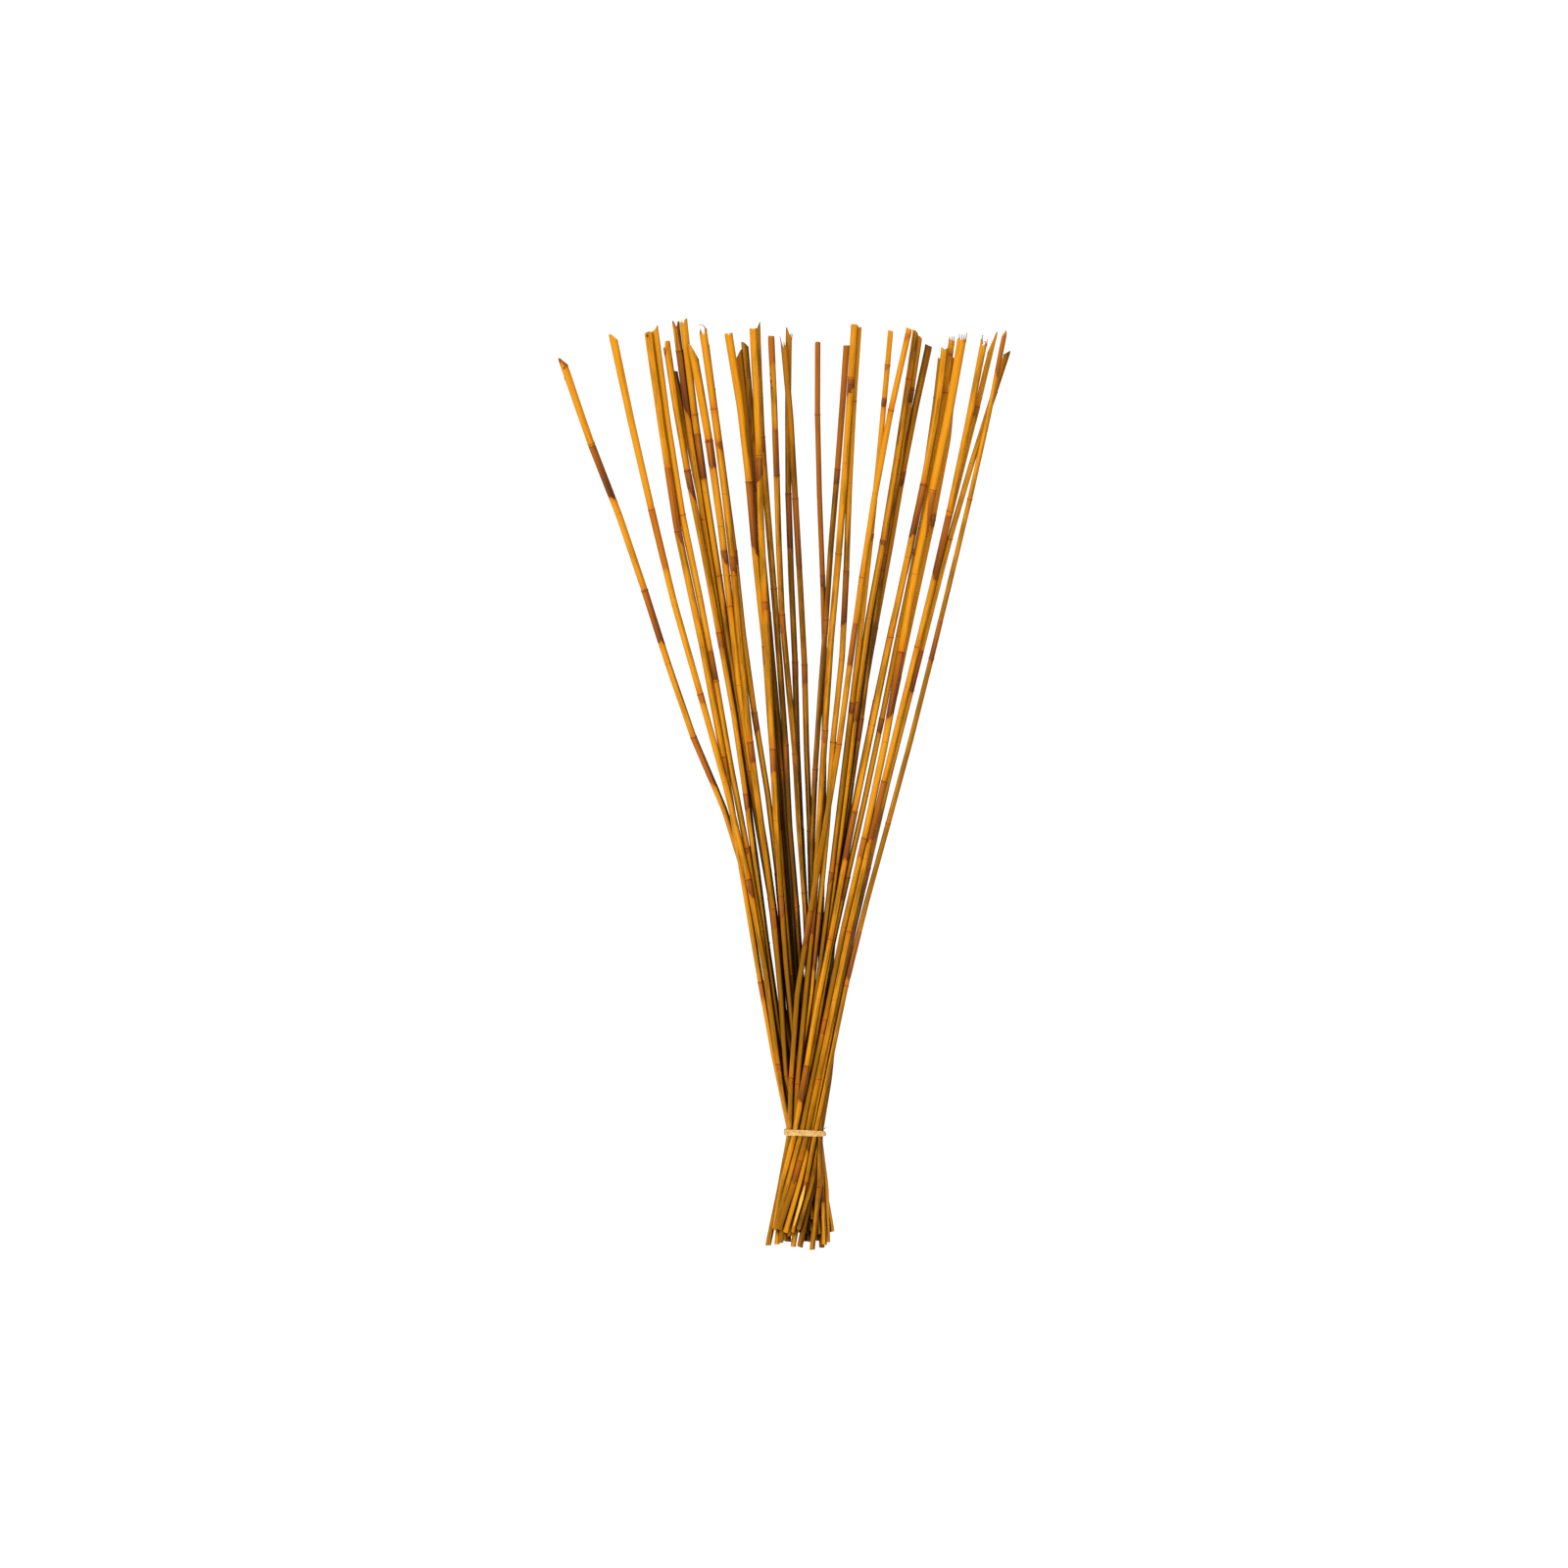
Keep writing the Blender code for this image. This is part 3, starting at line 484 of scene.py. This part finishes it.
def reed_skin(name, bright, dull, warm, rough, marks=()):
    """Dyed reed skin: fine fibres, mottling, warm tone by the rings, sheath stains, black marks, painted
    light and shade.

    The marks are knots and holes, each as its place across and along the bunch and its radius in mm.
    """
    material = bpy.data.materials.new(name)
    material.use_nodes = True
    tree = material.node_tree
    grain = layer(tree, "grain", "Vector")
    fibres = noise_over(tree, grain, (2600, 26, 2600), 3)
    ribs = noise_over(tree, grain, (900, 5, 900), 2)
    mottle = noise_over(tree, grain, (190, 28, 190), 3)
    ragged = noise_over(tree, grain, (1500, 260, 1500), 3)
    specks = noise_over(tree, grain, (1300, 420, 1300), 2)
    streaks = noise_over(tree, grain, (1500, 20, 1500), 2)

    # the bright layer is the dye's tone with painted light and shade on the stem's sides
    tone = combined(tree, "ADD", layer(tree, "bright"), between(tree, mottle, 0.3, 0.7, -0.3, 0.3))
    tone = combined(tree, "ADD", tone, between(tree, ribs, 0.35, 0.65, -0.3, 0.3))
    colour = blended(tree, between(tree, tone, 0.0, 1.0), dull, bright)
    patchy = between(tree, mottle, 0.35, 0.6, 0.25, 0.9)
    colour = blended(tree, combined(tree, "MULTIPLY", layer(tree, "warm"), patchy), colour, warm)
    between_fibres = between(tree, fibres, 0.35, 0.7, 0.30, 0.0)
    colour = blended(tree, between_fibres, colour, FIBRE_SHADE, "MULTIPLY")
    colour = blended(tree, between(tree, specks, 0.70, 0.76, 0.0, 0.75), colour, SPECK)

    edge = combined(tree, "ADD", layer(tree, "stain"), between(tree, ragged, 0.25, 0.75, -1.3, 1.3))
    stained = between(tree, edge, -0.15, 0.35)
    years = combined(tree, "ADD", layer(tree, "age"), between(tree, ribs, 0.3, 0.7, -0.22, 0.22))
    brown = blended(tree, between(tree, years, 0.0, 0.55), YOUNG_SHEATH, OLD_SHEATH)
    brown = blended(tree, between(tree, years, 0.45, 1.0), brown, BLACK_SHEATH)
    brown = blended(tree, between(tree, fibres, 0.4, 0.7, 0.0, 0.4), brown, SHEATH_FIBRE)
    cover = combined(tree, "MULTIPLY", stained, between(tree, years, 0.0, 0.6, 0.55, 1.0))
    colour = blended(tree, cover, colour, brown)

    colour = blended(tree, between(tree, streaks, 0.63, 0.70, 0.0, 0.6), colour, STREAK)
    from_crack = combined(tree, "SUBTRACT", layer(tree, "ring"), CRACK_AT)
    from_crack = combined(tree, "ABSOLUTE", from_crack)
    from_crack = combined(tree, "ADD", from_crack, between(tree, ragged, 0.3, 0.7, -0.2, 0.2))
    colour = blended(tree, between(tree, from_crack, 0.15, 0.6, 0.8, 0.0), colour, CRACK)
    place = node(tree, "TexCoord").outputs["Object"]
    for x, y, radius in marks:
        away = node(tree, "VectorMath", operation="SUBTRACT")
        tree.links.new(place, away.inputs[0])
        away.inputs[1].default_value = (x * MM, y * MM, 0)
        flat = node(tree, "VectorMath", operation="MULTIPLY")
        tree.links.new(away.outputs["Vector"], flat.inputs[0])
        flat.inputs[1].default_value = (1, MARK_STRETCH, 0)
        far = node(tree, "VectorMath", operation="LENGTH")
        tree.links.new(flat.outputs["Vector"], far.inputs[0])
        mark = between(tree, far.outputs["Value"], 0.5 * radius * MM, 1.1 * radius * MM, 0.85, 0.0)
        colour = blended(tree, mark, colour, MARK)
    # painted shade: the skin is darkened where other reeds shut it in
    painted_shut_in_shade = between(tree, layer(tree, "deep"), 0.0, 0.9, 0.0, 0.97)
    colour = blended(tree, painted_shut_in_shade, colour, PAINTED_DEEP_SHADE, "MULTIPLY")

    shader = tree.nodes["Principled BSDF"]
    tree.links.new(colour, shader.inputs["Base Color"])
    roughness = between(tree, fibres, 0.3, 0.7, rough + 0.12, rough - 0.06)
    tree.links.new(roughness, shader.inputs["Roughness"])
    shader.inputs["Specular IOR Level"].default_value = SHINE
    shader.inputs["Specular Tint"].default_value = (*SHINE_COLOUR, 1)
    bump = node(tree, "Bump", Strength=0.5, Distance=0.12 * MM)
    height = combined(tree, "ADD", fibres, combined(tree, "MULTIPLY", ribs, 1.5))
    tree.links.new(height, bump.inputs["Height"])
    tree.links.new(bump.outputs["Normal"], shader.inputs["Normal"])
    return material


def cut_skin(name, dark, light):
    """A flecked, unpolished surface from a dark to a light colour: cut straw and fibre, and painted shade
    inside the hollow.
    """
    material = bpy.data.materials.new(name)
    material.use_nodes = True
    tree = material.node_tree
    shader = tree.nodes["Principled BSDF"]
    fleck = noise_over(tree, layer(tree, "grain", "Vector"), (3200, 500, 3200), 3)
    tree.links.new(blended(tree, between(tree, fleck, 0.35, 0.6), dark, light), shader.inputs["Base Color"])
    shader.inputs["Roughness"].default_value = 0.8
    return material


cut_wall = cut_skin("cut wall of the stem", (0.22, 0.075, 0.012), (0.58, 0.27, 0.07))
# painted shade: the inside of the hollow is coloured near black
hollow = cut_skin("inside of the stem", (0.03, 0.010, 0.003), (0.10, 0.035, 0.006))
frayed = cut_skin("frayed fibre", (0.15, 0.048, 0.006), (0.34, 0.130, 0.015))
bare_straw = cut_skin("bare straw under the skin", (0.56, 0.27, 0.02), (0.74, 0.40, 0.04))
GOLD_MARKS = ((-229, 434.5, 1.6), (-224.5, 425, 1.3), (-139.5, 457, 1.5), (-123.5, 443, 1.9),
              (-122, 438, 1.2), (-77.5, 350, 1.2), (67.5, 407, 1.0), (68.5, 399, 0.9), (102, 437, 0.8))
gold_skin = reed_skin("gold reed skin", bright=(0.65, 0.268, 0.010), dull=(0.22, 0.095, 0.004),
                      warm=(0.48, 0.120, 0.003), rough=0.40, marks=GOLD_MARKS)


def peel(stem, top, bottom, widest, width):
    """Bare straw where a strip of skin has come off the stem's upper side, from top to bottom in mm.

    It is widest at that share of its length, and as wide there as told, in mm.
    """
    t = np.linspace(0, 1, 26)
    ys = (top + (bottom - top) * t) * MM
    x, z, radius = reed_at(bundle[stem.name[-2:]], ys)
    xs = x + 0.5 * MM * np.sin(3 * t)
    zs = z + radius + 0.3 * MM
    half = width / 2 * MM * np.interp(t, (0, widest, 0.8, 1), (0.1, 1, 0.6, 0.25))
    strip = draw_tube("strip", np.column_stack((xs, ys, zs)), half)
    corners = np.array([vert.co for vert in strip.data.vertices])
    middle = np.interp(corners[:, 1], ys[::-1], zs[::-1])
    corners[:, 2] = middle + 0.22 * (corners[:, 2] - middle)
    strip.data.vertices.foreach_set("co", corners.astype(np.float32).ravel())
    strip.data.materials.append(bare_straw)
    join_to(stem, [strip])


GOLD_FRAYS = {
    "10": ((0.8, 3.5, 0, -8), (-0.6, 1.5, -0.3, 0)),
    "32": ((-0.8, 4, -0.6, 0), (-0.2, 5, 0.3, 0), (0.4, 4, 0.8, 0), (0.95, 6, 1.8, 0)),
    "34": ((-0.8, 5.5, -1.5, 3), (0.3, 4, 1, -3), (0.8, 4, 0.8, 0)),
}
for number, (brightness, cut, stains) in GOLD.items():
    reed = grow_reed(number, brightness, cut, stains, gold_skin)
    if number in GOLD_FRAYS:
        fray(reed, cut, GOLD_FRAYS[number])
    if number == "36":
        peel(reed, top=-404, bottom=-452, widest=0.4, width=3.8)


# ---- The olive reeds
# The same kind of stem, dyed a duller olive gold. Several lie further back in the bunch. They
# are cut and fixed as the gold ones are.
OLIVE = {
    "07": (((450, -0.75), (230, 0.75)), ((-1, 0), (-0.5, 1), (-0.1, 6), (0.2, 6), (0.6, 1), (1, 0.6)),
           ((474, 471, 470, 0.6), (443, 385, 372, 0.9), (99, 84, 82, 0.5), (-73, -90, -86, 0.5))),
    "08": (((450, 1.25), (330, 1), (130, -1.5)), ((-1, 4), (-0.6, 2.5), (-0.2, 5.5), (0.4, 0.5), (1, 0)),
           ((358, 314, 310, 0.8), (48, 36, 34, 0.5), (-117, -130, -126, 0.5))),
    "11": (((430, 0.25), (130, 0.75), (-438, 1.25)), ((-1, 0), (1, 3)),
           ((73, 50, 55, 0.6), (238, 220, 224, 0.5), (-92, -120, -112, 0.6))),
    "14": (-1.5, ((-1, 0), (0, 1.5), (1, 6)), ((330, 300, 290, 0.9), (175, 150, 146, 0.7))),
    "16": (((330, -0.5), (30, -1.25)), ((-1, 12), (-0.2, 9), (0.5, 3), (1, 0)),
           ((355, 340, 338, 0.5), (40, 12, 16, 0.6))),
    "17": (((450, 0), (130, -1), (-400, 1)), ((-1, 0), (1, 0.4)),
           ((456, 428, 430, 0.15), (362, 316, 312, 0.6), (173, 152, 160, 0.7), (31, 20, 18, 0.4),
            (-410, -424, -428, 0.8))),
    "20": (((430, -1), (230, -1.75)), ((-1, 1), (0, 0), (1, 1)),
           ((453, 214, 214, 0.3), (213, 201, 204, 0.95), (190, 49, 49, 0.3), (48, 26, 30, 0.7))),
    "21": (((430, -0.75), (130, -1.75), (-70, -0.75)), ((-1, 0.2), (1, 0)),
           ((449, 323, 323, 0.2), (322, 305, 306, 0.9), (168, 150, 154, 0.5), (15, -6, 2, 0.6),
            (-138, -160, -156, 0.7))),
    "23": (((330, 0.75), (230, -0.75), (-120, 1.25)), ((-1, 0), (1, 0.8)),
           ((217, 160, 164, 0.85), (-131, -186, -190, 0.6), (-262, -275, -272, 0.5))),
    "26": (((400, -1.5), (230, 0.5), (-70, 1)), ((-1, 0), (0, 0.5), (0.6, 3), (1, 6)),
           ((249, 244, 245, 0.7), (84, 60, 64, 0.6))),
    "27": (((450, 0.5), (130, -1.5), (-400, 0.75)), ((-1, 0), (0.3, 1), (1, 3)),
           ((406, 388, 392, 0.9), (235, 214, 218, 0.6), (67, 40, 46, 0.7))),
    "31": (((450, 1.5), (-70, 1.25), (-270, 0)),
           ((-1, 0), (-0.7, 4), (-0.4, 0.6), (0, 4), (0.4, 1), (0.7, 4.5), (1, 2)),
           ((440, 436, 437, 0.3), (67, 52, 54, 0.7), (-95, -120, -116, 0.5))),
    "33": (((330, 0.25), (230, 1.25), (-438, -1.25)), ((-1, 0), (1, 2)),
           ((276, 267, 262, 0.6), (110, 88, 92, 0.6), (-55, -80, -76, 0.6))),
    "35": (((400, 1.5), (0, 0.5), (-438, -0.5)), ((-1, 24), (-0.4, 14), (0.2, 6), (0.7, 0), (1, 1)),
           ((385, 377, 370, 0.5), (230, 205, 210, 0.6), (80, 62, 66, 0.6), (-85, -112, -106, 0.7))),
    "37": (((450, -1), (130, 0.25), (-360, 1)), ((-1, 5), (0.4, 1), (1, 0)),
           ((400, 392, 390, 0.5), (136, 98, 94, 0.8), (-70, -95, -90, 0.6), (-360, -371, -377, 0.8))),
}
OLIVE_MARKS = ((-14.5, 418, 1.4), (-13, 411, 1.3), (-12.5, 404, 0.9), (21.5, -267, 0.9), (22, -272, 0.8))
OLIVE_FRAYS = {
    "31": ((-0.8, 4, -1, 0), (-0.1, 5, 0.2, 0), (0.6, 5.5, 0.8, 0)),
}
olive_skin = reed_skin("olive reed skin", bright=(0.60, 0.245, 0.008), dull=(0.10, 0.042, 0.004),
                       warm=(0.36, 0.098, 0.004), rough=0.42, marks=OLIVE_MARKS)
for number, (brightness, cut, stains) in OLIVE.items():
    reed = grow_reed(number, brightness, cut, stains, olive_skin)
    if number in OLIVE_FRAYS:
        fray(reed, cut, OLIVE_FRAYS[number])


# ---- The brown reeds
# Thin, older stems that took the dye badly. They are dull brown with darker streaks, and most
# of them lie low in the bunch.
BROWN = {
    "06": (-0.5, ((-1, 0), (1, 2)), ((317, 270, 262, 0.9), (157, 112, 116, 0.8), (-3, -20, -24, 0.6))),
    "13": (1.25, ((-1, 8), (0.1, 2), (0.6, 0), (1, 1)),
           ((300, 270, 262, 0.8), (140, 110, 116, 0.7), (-20, -48, -40, 0.7))),
    "18": (((430, -0.25), (330, -1.25), (30, -0.75)),
           ((-1, 0), (-0.6, 2), (-0.2, 7), (0.3, 3), (1, 5)),
           ((292, 222, 218, 0.75), (122, 100, 104, 0.6), (-48, -70, -66, 0.7))),
    "19": (((430, 0.5), (330, -0.75)), ((-1, 1), (-0.7, 0), (-0.2, 4), (0.4, 9), (1, 13)),
           ((297, 242, 238, 0.98), (125, 104, 108, 0.7), (-47, -76, -70, 0.7))),
    "28": (((450, -1.25), (300, 0.75), (-438, -0.75)), ((-1, 0), (1, 2)),
           ((319, 305, 307, 0.8), (160, 138, 142, 0.6), (0, -24, -20, 0.6))),
    "29": (0.0, ((-1, 0), (1, 4)), ((240, 220, 214, 0.7), (85, 60, 66, 0.6), (-75, -96, -90, 0.6))),
}
BROWN_FRAYS = {
    "18": ((-0.7, 7, -2.5, 0), (-0.2, 5, -1.5, 0), (0.3, 3, -0.5, 0)),
    "19": ((0.5, 3, 1.0, 0), (0.9, 5, 1.6, 0)),
}
brown_skin = reed_skin("brown reed skin", bright=(0.40, 0.150, 0.004), dull=(0.12, 0.048, 0.003),
                       warm=(0.27, 0.072, 0.005), rough=0.44)
for number, (brightness, cut, stains) in BROWN.items():
    reed = grow_reed(number, brightness, cut, stains, brown_skin)
    if number in BROWN_FRAYS:
        fray(reed, cut, BROWN_FRAYS[number])


# ---- The raffia tie
# Three strands of light tan raffia, each twisted from flat fibres, wound tightly round the bunch
# and knotted low on the right. It holds the reeds together.
TIE_AROUND = 220         # places round the bunch
TIE_REACH = 7 * MM       # the reeds are looked at this far to both sides of the tie
TIE_LEAN = -0.045        # the tie runs this much towards the thin ends on its way to the right
STRAND_GAP = 0.3 * MM
STRAND_THICK = 1.1 * MM  # half the thickness of a strand
STRAND_ASIDE = 1.3 * MM  # from the middle of the tie to an outer strand's middle
FIBRE = 0.5 * MM         # half the thickness of a fibre
FIBRE_OUT = 0.56 * MM    # how far a fibre swings out from the strand's middle
FIBRE_ASIDE = 0.8 * MM   # and to both sides of it
TWIST = 9 * MM           # one turn of a strand's fibres takes this length
KNOT_AT = math.radians(-38)   # place of the knot, from the right over the top
KNOT_TURNS = (-1, 0, 1)  # the hoops of the knot, side by side
HOOP_APART = 0.9 * MM
HOOP_OUT = 1.5 * MM      # half the hoop's height
HOOP_LONG = 3.1 * MM     # half its length along the bunch
TAIL = 9 * MM            # how far a tail goes round the bunch
RAFFIA_SMOOTH = 60       # its faces that meet at less than this many degrees look smooth
ALONG = np.array((0, 1, 0))

tie_low, tie_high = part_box("raffia_tie")
tie_y = (tie_low.y + tie_high.y) / 2
looks = tie_y + np.linspace(-TIE_REACH, TIE_REACH, 7)
rounds = np.array([reed_at(reed, look) for reed in bundle.values() for look in looks])
angles = np.linspace(0, 2 * math.pi, TIE_AROUND, endpoint=False)
normals = np.column_stack((np.cos(angles), np.sin(angles)))
reach = rounds[:, :2] @ normals.T + rounds[:, 2:3]
touched = rounds[reach.argmax(axis=0)]
loop = touched[:, :2] + normals * (touched[:, 2:3] + STRAND_GAP + STRAND_THICK)
spread = np.linalg.norm(np.roll(loop, -1, axis=0) - loop, axis=1)
travelled = np.append(0, np.cumsum(spread))
even = np.linspace(0, spread.sum(), TIE_AROUND * 2, endpoint=False)
closed = np.vstack((loop, loop[:1]))
loop = np.column_stack([np.interp(even, travelled, closed[:, axis]) for axis in (0, 1)])
facing = np.interp(even, travelled, np.append(angles, 2 * math.pi))
lean = TIE_LEAN * (loop[:, 0] - loop[:, 0].mean())
turns = round(spread.sum() / TWIST)

fibres = []
for strand, side in enumerate((-1, 0, 1)):
    aside = side * STRAND_ASIDE * (1 + 0.42 * np.cos(facing - 2.1))
    aside += 0.3 * MM * np.sin(2 * facing + 2 * strand)
    for fibre in range(3):
        twist = 2 * math.pi * (turns * even / spread.sum() + fibre / 3) + strand
        out = FIBRE_OUT * np.cos(twist)
        places = np.column_stack((loop[:, 0] + np.cos(facing) * out,
                                  tie_y + lean + aside + FIBRE_ASIDE * np.sin(twist),
                                  loop[:, 1] + np.sin(facing) * out))
        places = np.vstack((places, places[:1]))
        fibres.append(draw_tube("fibre", places, np.full(len(places), FIBRE)))

knot = np.argmin(np.abs(facing - (KNOT_AT + 2 * math.pi)))
heart = np.array((loop[knot, 0], tie_y + lean[knot], loop[knot, 1]))
outward = np.array((math.cos(KNOT_AT), 0, math.sin(KNOT_AT)))
round_it = np.array((-math.sin(KNOT_AT), 0, math.cos(KNOT_AT)))
for turn in KNOT_TURNS:
    swing = np.linspace(0, 2 * math.pi, 33)[:, None]
    hoop = heart + outward * (0.6 * MM + HOOP_OUT * np.cos(swing)) + ALONG * HOOP_LONG * np.sin(swing)
    hoop = hoop + round_it * (turn * HOOP_APART + 0.5 * MM * np.sin(swing))
    hoop[:, 2] = np.maximum(hoop[:, 2], FIBRE)
    fibres.append(draw_tube("fibre", hoop, np.full(len(hoop), FIBRE * 0.9)))
for side in (-1, 1):
    away = np.linspace(0, 1, 14)[:, None]
    tail = heart + outward * (1.6 * MM + 2 * MM * away - 2 * MM * away ** 2)
    tail = tail + round_it * side * TAIL * away + ALONG * side * (2 * MM + 4 * MM * away ** 1.5)
    tail[:, 2] = np.maximum(tail[:, 2], FIBRE)
    fibres.append(draw_tube("fibre", tail, FIBRE * (1 - 0.4 * away[:, 0])))
bpy.ops.object.select_all(action="DESELECT")
for piece in fibres:
    piece.select_set(True)
bpy.context.view_layer.objects.active = fibres[0]
bpy.ops.object.join()
raffia = bpy.context.view_layer.objects.active
raffia.name = "raffia_band"
bpy.ops.object.mode_set(mode="EDIT")
bpy.ops.mesh.select_all(action="SELECT")
bpy.ops.mesh.remove_doubles(threshold=0.01 * MM)
bpy.ops.mesh.select_non_manifold()
bpy.ops.mesh.edge_face_add()
bpy.ops.mesh.select_all(action="SELECT")
bpy.ops.mesh.normals_make_consistent(inside=False)
bpy.ops.object.mode_set(mode="OBJECT")
bpy.ops.object.shade_smooth_by_angle(angle=math.radians(RAFFIA_SMOOTH))

straw = bpy.data.materials.new("raffia")
straw.use_nodes = True
tree = straw.node_tree
shader = tree.nodes["Principled BSDF"]
place = node(tree, "TexCoord").outputs["Object"]
threads = noise_over(tree, place, (900, 2600, 900), 3)
patches = noise_over(tree, place, (260, 260, 260), 2)
colour = blended(tree, between(tree, patches, 0.35, 0.65), (0.56, 0.33, 0.09), (0.78, 0.52, 0.18))
colour = blended(tree, between(tree, threads, 0.3, 0.55, 0.6, 0.0), colour, (0.30, 0.16, 0.05), "MULTIPLY")
tree.links.new(colour, shader.inputs["Base Color"])
shader.inputs["Roughness"].default_value = 0.7
bump = node(tree, "Bump", Strength=0.6, Distance=0.2 * MM)
tree.links.new(threads, bump.inputs["Height"])
tree.links.new(bump.outputs["Normal"], shader.inputs["Normal"])
raffia.data.materials.append(straw)
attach(raffia, "root")
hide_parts("raffia_tie")


# ---- The surface and the light
# A plain white table top that glows softly, so that it is evenly white with no shadow. Light
# falls from all over and from a wide, soft window at the upper left, which leaves the stems a
# little darker on their right.
TABLE = 40               # metres, past all edges of the picture
GLOW = 0.98              # how strongly the table top glows
SKY = 0.6                # strength of the light from all over
WINDOW = 3.6             # and of the window's
WINDOW_WIDE = math.radians(60)
WINDOW_TILT = (math.radians(-8), math.radians(-15), 0)

bpy.ops.mesh.primitive_plane_add(size=TABLE)
table_top = bpy.context.view_layer.objects.active
table_top.name = "table_top"
white = bpy.data.materials.new("white table top")
white.use_nodes = True
shader = white.node_tree.nodes["Principled BSDF"]
shader.inputs["Base Color"].default_value = (0.1, 0.1, 0.1, 1)
shader.inputs["Roughness"].default_value = 0.9
shader.inputs["Emission Color"].default_value = (1, 1, 1, 1)
shader.inputs["Emission Strength"].default_value = GLOW
table_top.data.materials.append(white)

sky = bpy.data.worlds.new("soft light")
sky.use_nodes = True
sky.node_tree.nodes["Background"].inputs["Color"].default_value = (1, 1, 1, 1)
sky.node_tree.nodes["Background"].inputs["Strength"].default_value = SKY
bpy.context.scene.world = sky
lamp = bpy.data.lights.new("soft window", "SUN")
lamp.energy = WINDOW
lamp.angle = WINDOW_WIDE
window = bpy.data.objects.new("soft window", lamp)
bpy.context.scene.collection.objects.link(window)
window.rotation_euler = WINDOW_TILT
bpy.context.scene.view_settings.view_transform = "Standard"
